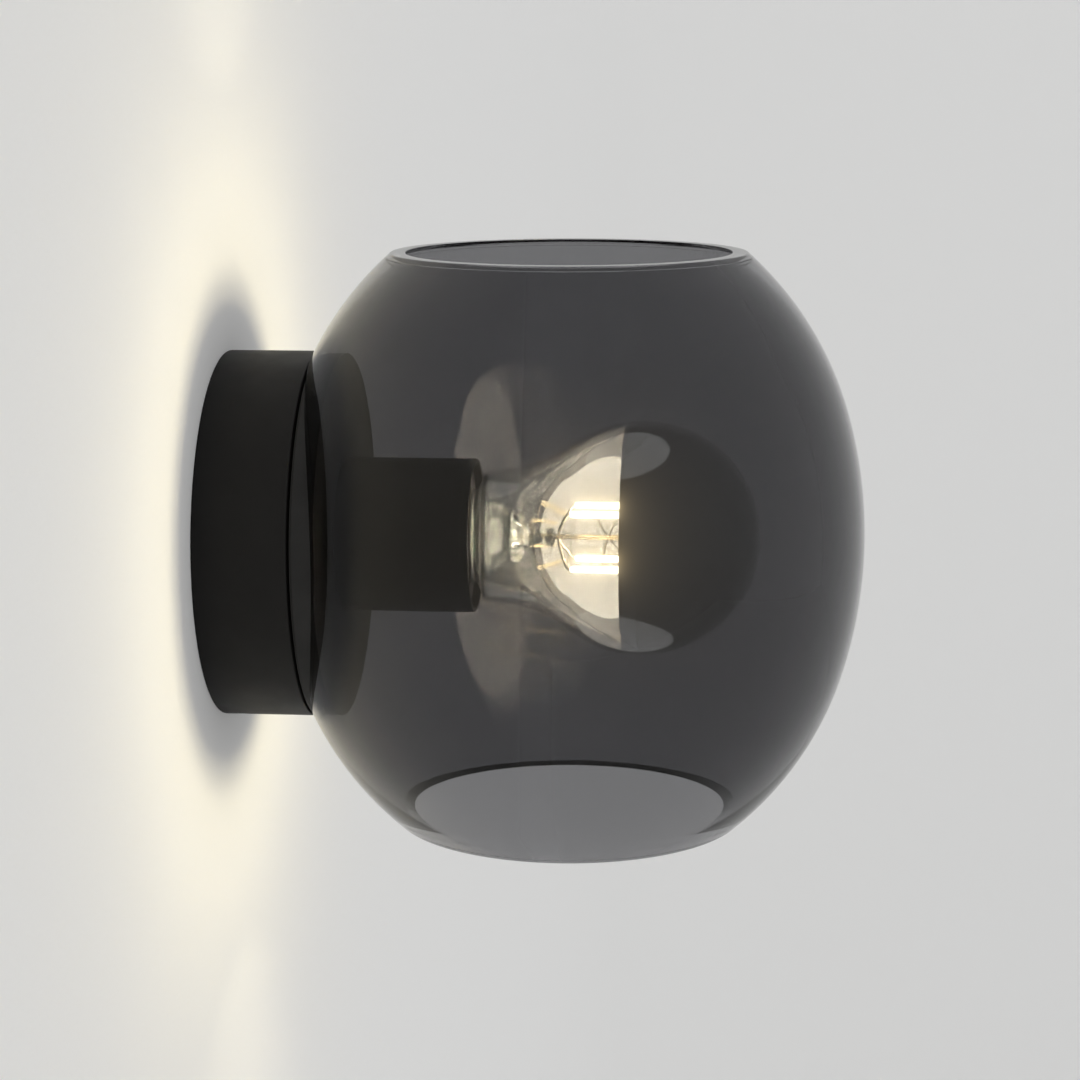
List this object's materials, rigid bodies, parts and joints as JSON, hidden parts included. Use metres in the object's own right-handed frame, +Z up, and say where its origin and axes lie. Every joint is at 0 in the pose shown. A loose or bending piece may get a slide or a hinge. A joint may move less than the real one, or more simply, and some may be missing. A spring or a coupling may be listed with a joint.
{
  "type": "globe wall sconce",
  "caption": "Wall sconce: an open smoked glass globe on a round black canopy, with a sideways mirror-crown filament lamp that screws in and out of its holder.",
  "frame": {"origin": "centre of the canopy's back face, on the wall plane, midway between the two wall screw slots", "axes": "+Z up, -Y straight out from the wall into the room along the lamp's axis, +X to the right of someone standing behind the wall looking out, which is the left of someone facing the wall"},
  "size_m": [0.16, 0.1735, 0.155],
  "materials": {
    "smoked_glass": "clear smoked grey, polished",
    "clear_glass": "clear, polished",
    "silver_mirror": "mirror coat inside the bulb",
    "black_metal": "fine matt black powder coat",
    "black_plastic": "moulded, matt",
    "ivory_plastic": "moulded, satin",
    "black_silicone": "matt silicone",
    "zinc_steel": "zinc plated",
    "dark_steel": "black oxide",
    "nickel": "nickel plated",
    "brass": "bright turned brass",
    "solder": "dull solder",
    "vitrite": "black glass",
    "phosphor": "yellow phosphor coat",
    "green_board": "printed circuit board",
    "brown_wire": "PVC insulation",
    "blue_wire": "PVC insulation",
    "earth_wire": "green and yellow PVC insulation"
  },
  "bodies": {
    "fixture": {"wall_bracket": "zinc_steel", "terminal_block": "ivory_plastic", "pole_sleeves": "brass", "clamp_screws": "zinc_steel", "block_screws": "zinc_steel", "earth_lug": "brass", "earth_screw": "zinc_steel", "live_lead": "brown_wire", "neutral_lead": "blue_wire", "earth_lead": "earth_wire", "canopy_cup": "black_metal", "canopy_grub_screws": "dark_steel", "gap_spacer": "black_plastic", "front_disc": "black_metal", "disc_screws": "zinc_steel", "glass_sleeve": "black_silicone", "glass_clips": "dark_steel", "clip_screws": "zinc_steel", "glass_shade": "smoked_glass", "holder_sleeve": "black_metal", "lampholder_body": "black_plastic", "fixing_ring": "black_plastic", "screw_shell": "nickel", "centre_contact": "brass", "holder_terminals": "brass", "holder_screws": "zinc_steel"},
    "lamp_tip": {"cap_contact": "solder"},
    "lamp": {"cap_insulator": "vitrite", "lamp_cap": "nickel", "lamp_envelope": "clear_glass", "mirror_crown": "silver_mirror", "lamp_stem": "clear_glass", "stem_wires": "nickel", "filaments": "phosphor", "driver_board": "green_board", "driver_parts": "black_plastic"}
  },
  "joints": [
    {"name": "lamp_travel", "type": "slide", "parent": "fixture", "child": "lamp_tip", "axis": [0, -1, 0], "range_m": [0, 0.01815]},
    {"name": "lamp_turn", "type": "hinge", "parent": "lamp_tip", "child": "lamp", "pos_m": [0, -0.1, 0], "axis": [0, -1, 0], "range_deg": [0, 1800]}
  ],
  "couplings": [
    {"joint": "lamp_travel", "follows": "lamp_turn", "m_per_rad": 0.00057757}
  ]
}
